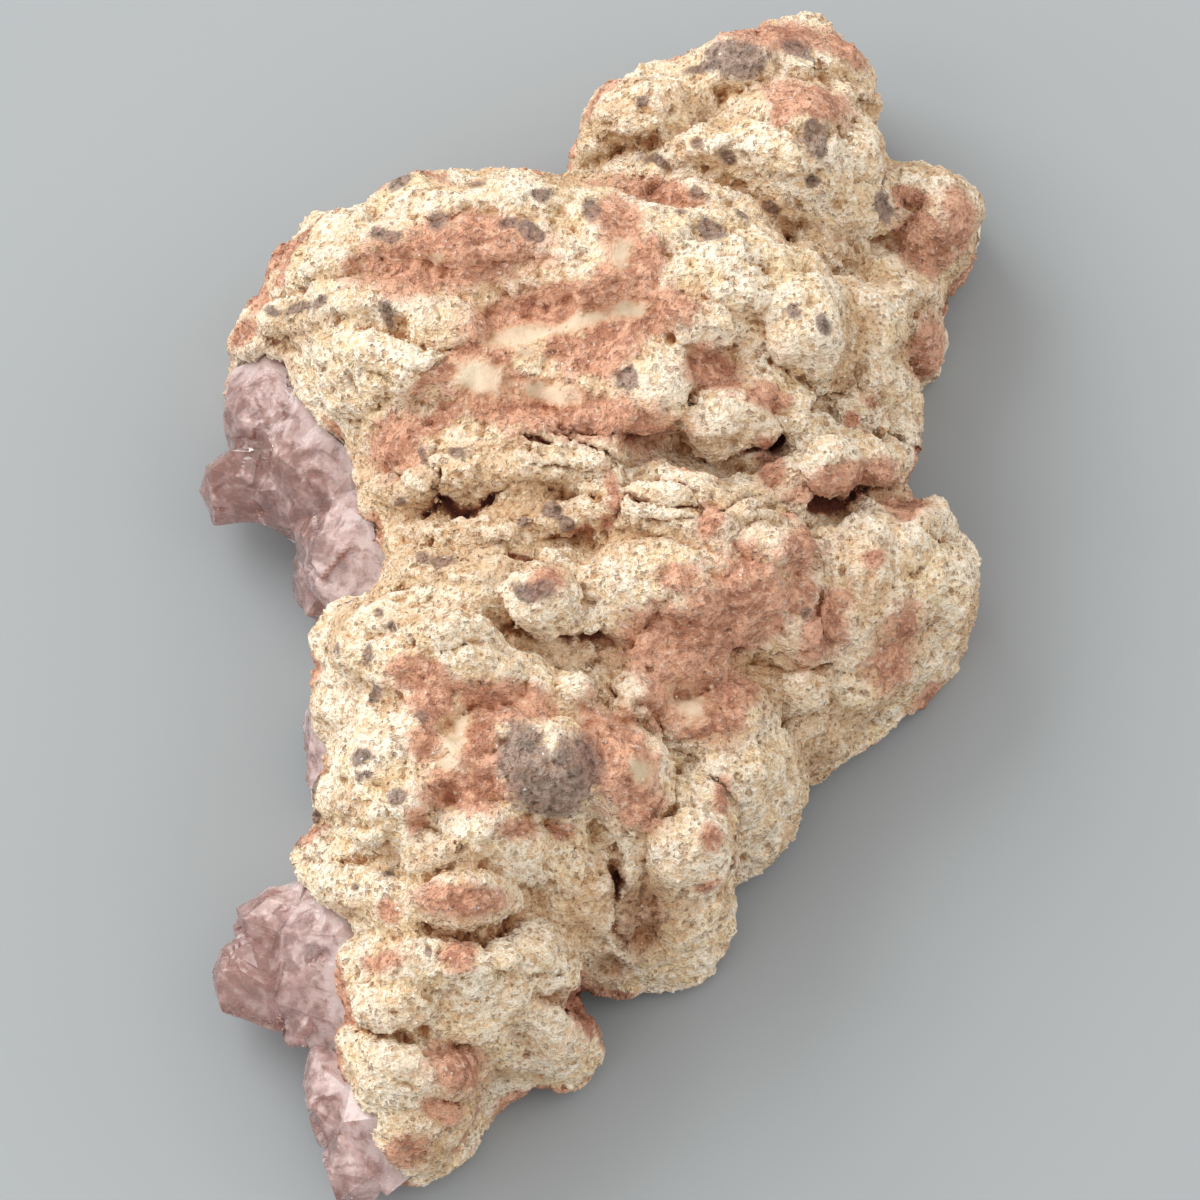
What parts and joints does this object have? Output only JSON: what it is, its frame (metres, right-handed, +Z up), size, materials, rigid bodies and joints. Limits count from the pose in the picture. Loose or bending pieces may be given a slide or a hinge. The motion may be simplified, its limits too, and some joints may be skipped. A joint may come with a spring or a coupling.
{
  "type": "amethyst geode",
  "caption": "Broken piece of geode: lumpy cream and rust-stained wall rock over a crust of pale pink amethyst that lines a hollow on its underside.",
  "frame": {"origin": "middle of the piece's box, at the plane its broken rim rests on", "axes": "+Z up, out of the rounded outer face; +Y along the piece, from its narrow foot to its head; +X across it, away from the broken edge where the amethyst shows"},
  "size_m": [0.073, 0.115, 0.0333],
  "materials": {
    "wall_rock": "rough, granular, cream with rust-red stains",
    "amethyst": "milky, translucent, fractured, pale pink"
  },
  "bodies": {
    "root": {"rind": "wall_rock", "amethyst_crust": "amethyst"}
  },
  "joints": []
}
